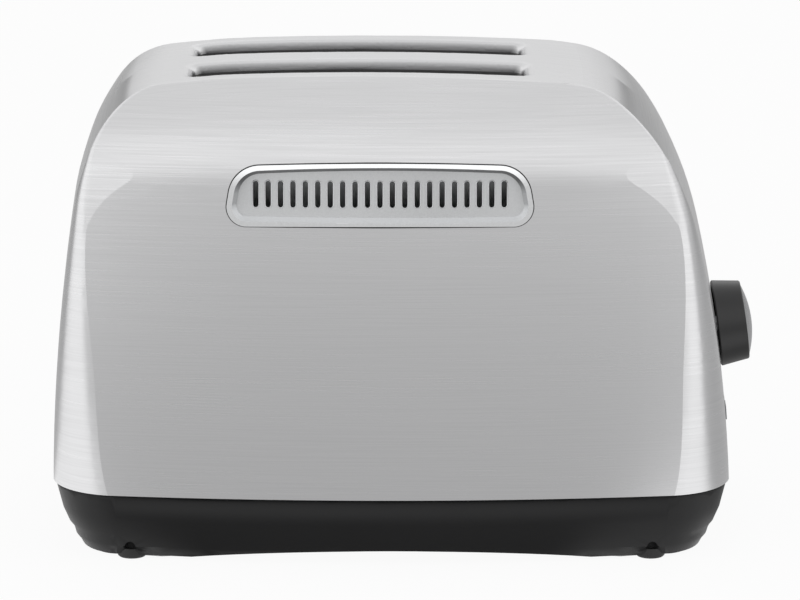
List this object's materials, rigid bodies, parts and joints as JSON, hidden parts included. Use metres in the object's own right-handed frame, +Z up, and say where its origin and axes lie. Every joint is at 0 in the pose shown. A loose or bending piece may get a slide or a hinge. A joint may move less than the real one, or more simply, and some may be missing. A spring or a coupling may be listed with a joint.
{
  "type": "toaster",
  "caption": "Long metal toaster with bread slots, a vented side, a lift carriage driven by rack and pinion, a dial and push buttons on one end, and a draw-out crumb tray.",
  "frame": {"origin": "on the surface that it stands on, under the middle of its whole length and width", "axes": "+X along the length towards the end with the dial, -Y towards the long side with the vent, +Z up"},
  "size_m": [0.2962, 0.176, 0.198],
  "materials": {
    "brushed_shell": "brushed lengthwise, satin",
    "chrome_trim": "bright plated",
    "grille_plate": "satin",
    "base_plastic": "fine moulded grain, black",
    "foot_rubber": "matte black",
    "plated_sheet": "plain plated sheet",
    "bright_rod": "ground bright",
    "bearing_nylon": "natural white",
    "gearbox_plastic": "black moulding",
    "terminal_plastic": "off-white moulding",
    "board_laminate": "tan laminate",
    "lens_plastic": "clear amber",
    "knob_plastic": "satin black",
    "knob_metal": "turned, dark grey",
    "screw_steel": "zinc plated",
    "mica": "pearly laminated mica",
    "heater_ribbon": "oxidised ribbon",
    "guide_wire": "plated wire",
    "button_plastic": "satin black"
  },
  "bodies": {
    "housing": {"vent_bezel": "chrome_trim", "vent_grille": "grille_plate", "outer_shell": "brushed_shell", "base_housing": "base_plastic", "cord_gland": "base_plastic", "rubber_feet": "foot_rubber", "rear_bulkhead": "plated_sheet", "front_bulkhead": "plated_sheet", "guide_rod": "bright_rod", "near_reflector": "plated_sheet", "far_reflector": "plated_sheet", "near_outer_card": "mica", "near_outer_winding": "heater_ribbon", "near_inner_card": "mica", "near_inner_winding": "heater_ribbon", "far_inner_card": "mica", "far_inner_winding": "heater_ribbon", "far_outer_card": "mica", "far_outer_winding": "heater_ribbon", "motor_gearbox": "gearbox_plastic", "motor_can": "plated_sheet", "motor_bracket": "plated_sheet", "limit_switch": "gearbox_plastic", "terminal_block": "terminal_plastic", "control_carrier": "gearbox_plastic", "control_board": "board_laminate", "dial_control": "gearbox_plastic", "push_switches": "gearbox_plastic", "board_components": "gearbox_plastic", "indicator_lens": "lens_plastic", "bulkhead_screws": "screw_steel", "bracket_screws": "screw_steel", "board_screws": "screw_steel"},
    "knob": {"knob_grip": "knob_plastic", "knob_cap": "knob_metal", "knob_spindle": "knob_metal"},
    "cancel": {"cancel_button": "button_plastic"},
    "reheat": {"reheat_button": "button_plastic"},
    "defrost": {"defrost_button": "button_plastic"},
    "one_side": {"one_side_button": "button_plastic"},
    "tray": {"crumb_tray": "plated_sheet", "tray_front": "base_plastic"},
    "carriage": {"carriage_plate": "plated_sheet", "carriage_bush": "bearing_nylon", "near_bread_rack": "plated_sheet", "far_bread_rack": "plated_sheet", "lift_rack": "bearing_nylon"},
    "pinion": {"drive_pinion": "bearing_nylon"},
    "near_outer_cage": {"near_outer_guide": "guide_wire"},
    "near_inner_cage": {"near_inner_guide": "guide_wire"},
    "far_inner_cage": {"far_inner_guide": "guide_wire"},
    "far_outer_cage": {"far_outer_guide": "guide_wire"}
  },
  "joints": [
    {"name": "knob_turn", "type": "hinge", "parent": "housing", "child": "knob", "pos_m": [0.13201, 0, 0.082], "axis": [0.9908, 0, 0.1351], "range_deg": [-135, 135]},
    {"name": "cancel_press", "type": "slide", "parent": "housing", "child": "cancel", "axis": [-0.9908, 0, -0.1351], "range_m": [0, 0.0012], "stiffness_N_per_m": 300, "springref_m": -0.001},
    {"name": "reheat_press", "type": "slide", "parent": "housing", "child": "reheat", "axis": [-0.9908, 0, -0.1351], "range_m": [0, 0.0012], "stiffness_N_per_m": 300, "springref_m": -0.001},
    {"name": "defrost_press", "type": "slide", "parent": "housing", "child": "defrost", "axis": [-0.9908, 0, -0.1351], "range_m": [0, 0.0012], "stiffness_N_per_m": 300, "springref_m": -0.001},
    {"name": "one_side_press", "type": "slide", "parent": "housing", "child": "one_side", "axis": [-0.9908, 0, -0.1351], "range_m": [0, 0.0012], "stiffness_N_per_m": 300, "springref_m": -0.001},
    {"name": "tray_draw", "type": "slide", "parent": "housing", "child": "tray", "axis": [-1, 0, 0], "range_m": [0, 0.16]},
    {"name": "carriage_lift", "type": "slide", "parent": "housing", "child": "carriage", "axis": [0, 0, -1], "range_m": [0, 0.05]},
    {"name": "pinion_spin", "type": "hinge", "parent": "housing", "child": "pinion", "pos_m": [0.06006, 0.033, 0.084], "axis": [1, 0, 0], "range_deg": [0, 320]},
    {"name": "near_outer_swing", "type": "hinge", "parent": "housing", "child": "near_outer_cage", "pos_m": [-0.01994, -0.038, 0.038], "axis": [-1, 0, 0], "range_deg": [0, 4.3]},
    {"name": "near_inner_swing", "type": "hinge", "parent": "housing", "child": "near_inner_cage", "pos_m": [-0.01994, -0.01, 0.038], "axis": [1, 0, 0], "range_deg": [0, 4.3]},
    {"name": "far_inner_swing", "type": "hinge", "parent": "housing", "child": "far_inner_cage", "pos_m": [-0.01994, 0.01, 0.038], "axis": [-1, 0, 0], "range_deg": [0, 4.3]},
    {"name": "far_outer_swing", "type": "hinge", "parent": "housing", "child": "far_outer_cage", "pos_m": [-0.01994, 0.038, 0.038], "axis": [1, 0, 0], "range_deg": [0, 4.3]}
  ],
  "couplings": [
    {"joint": "pinion_spin", "follows": "carriage_lift", "rad_per_m": 111.11},
    {"joint": "near_outer_swing", "follows": "carriage_lift", "rad_per_m": 1.466},
    {"joint": "near_inner_swing", "follows": "carriage_lift", "rad_per_m": 1.466},
    {"joint": "far_inner_swing", "follows": "carriage_lift", "rad_per_m": 1.466},
    {"joint": "far_outer_swing", "follows": "carriage_lift", "rad_per_m": 1.466}
  ]
}
